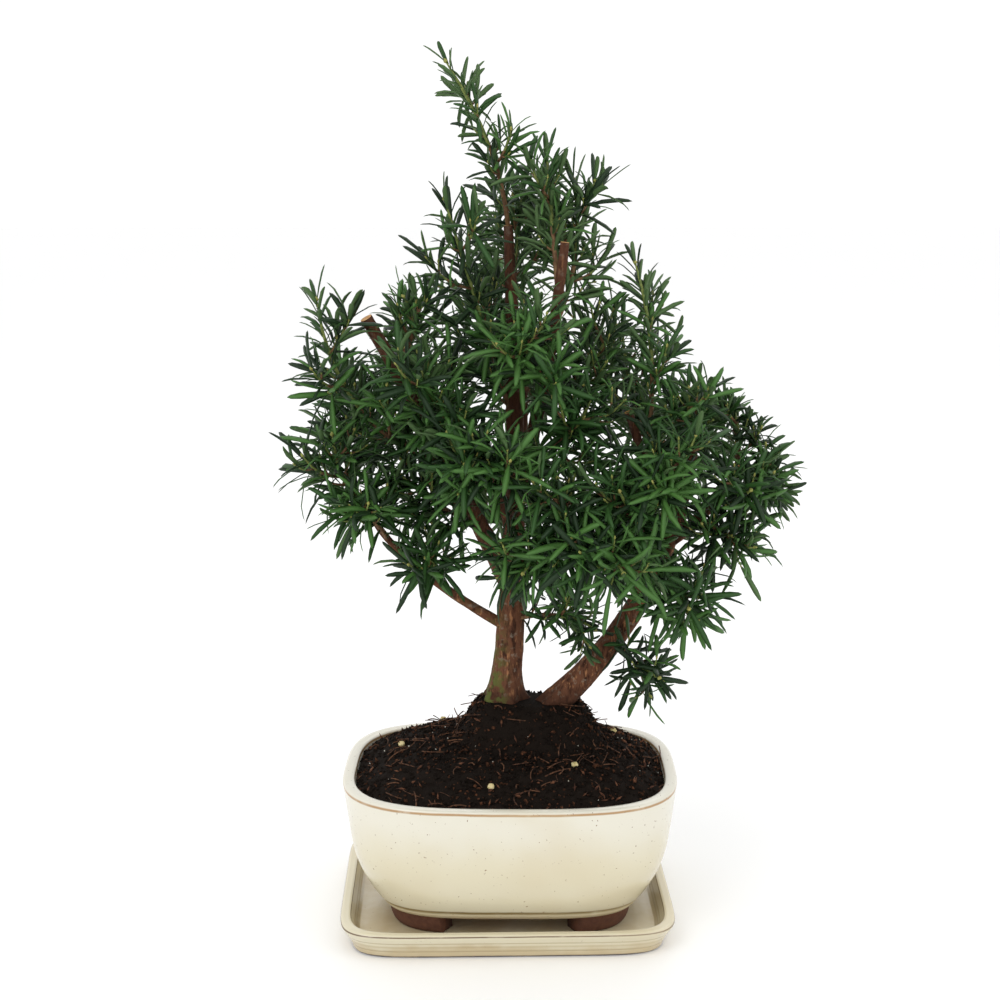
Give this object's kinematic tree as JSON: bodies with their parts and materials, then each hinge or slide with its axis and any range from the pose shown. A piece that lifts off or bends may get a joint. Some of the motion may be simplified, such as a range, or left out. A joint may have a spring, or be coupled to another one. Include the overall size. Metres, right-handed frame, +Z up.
{
  "type": "bonsai",
  "caption": "Evergreen yew bonsai with two stems and open sprays of flat needles, planted in a cream glazed rounded pot with corner feet on a matching saucer.",
  "frame": {"origin": "centre of the saucer's flat underside, on the ground", "axes": "+Z up along the stems, +X to the right of the plant's front, +Y to its back"},
  "size_m": [0.2446, 0.1878, 0.4016],
  "materials": {
    "cream_glaze": "gloss",
    "saucer_glaze": "gloss",
    "peat": "matt",
    "bark": "matt",
    "needles": "satin"
  },
  "bodies": {
    "root": {"back_edge_left": "needles", "back_edge_right": "needles", "back_low": "needles", "back_low_right": "needles", "back_mid": "needles", "back_top": "needles", "back_top_left": "needles", "back_top_right": "needles", "bough_back": "bark", "bough_back_left": "bark", "bough_back_right": "bark", "bough_centre": "bark", "bough_far_right": "bark", "bough_front": "bark", "bough_front_left": "bark", "bough_left": "bark", "bough_low_left": "bark", "bough_right_inner": "bark", "column_left": "needles", "column_mid": "needles", "column_right": "needles", "crest_right": "needles", "edge_low_right": "needles", "edge_mid_right": "needles", "edge_right": "needles", "front_left_star": "needles", "front_low_star": "needles", "front_spire": "needles", "front_star": "needles", "front_upper_star": "needles", "hanging_sprig": "needles", "heart_front": "needles", "heart_left": "needles", "heart_low": "needles", "heart_low_left": "needles", "heart_right": "needles", "inner_right": "needles", "leader": "needles", "left_arch": "needles", "left_crest": "needles", "left_inner": "needles", "left_low": "needles", "left_spire": "needles", "low_left_sprig": "needles", "low_right_star": "needles", "pot": "cream_glaze", "right_front_star": "needles", "right_mid_star": "needles", "saucer": "saucer_glaze", "soil": "peat", "spire_right": "needles", "stub_shoots": "needles", "top_back": "needles", "trunk_main": "bark", "trunk_right": "bark", "under_sprig": "needles"}
  },
  "joints": []
}
